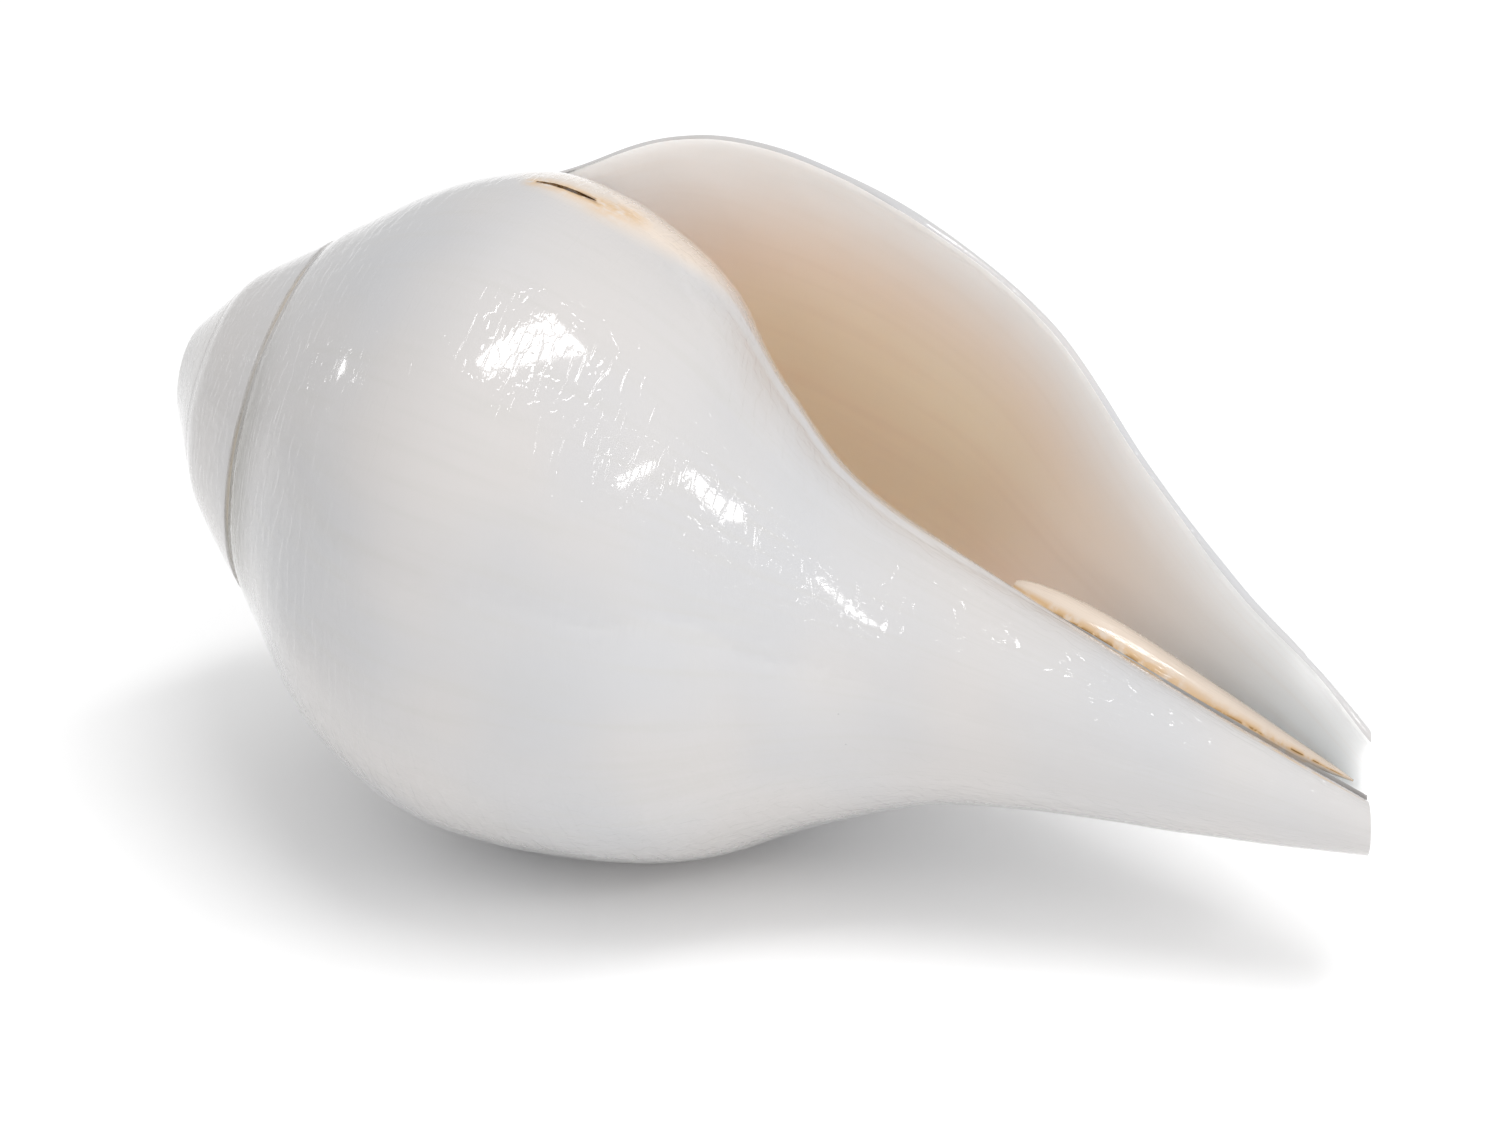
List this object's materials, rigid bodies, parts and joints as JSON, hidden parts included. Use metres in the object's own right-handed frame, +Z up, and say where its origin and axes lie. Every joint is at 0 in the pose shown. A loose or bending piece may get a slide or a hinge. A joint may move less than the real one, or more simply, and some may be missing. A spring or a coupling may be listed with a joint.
{
  "type": "left-handed conch shell",
  "caption": "Smooth pear-shaped sea shell with a low spire, one long flared mouth and a tapering canal, lying on its back.",
  "frame": {"origin": "centre of the bounding box at its lowest height, on the surface the shell lies on", "axes": "+X from the spire to the open end of the canal, +Z up, -Y towards the side that shows the mouth"},
  "size_m": [0.1526, 0.086, 0.0817],
  "materials": {
    "shell": "polished white shell, tan inside the mouth"
  },
  "bodies": {
    "root": {"shell": "shell"}
  },
  "joints": []
}
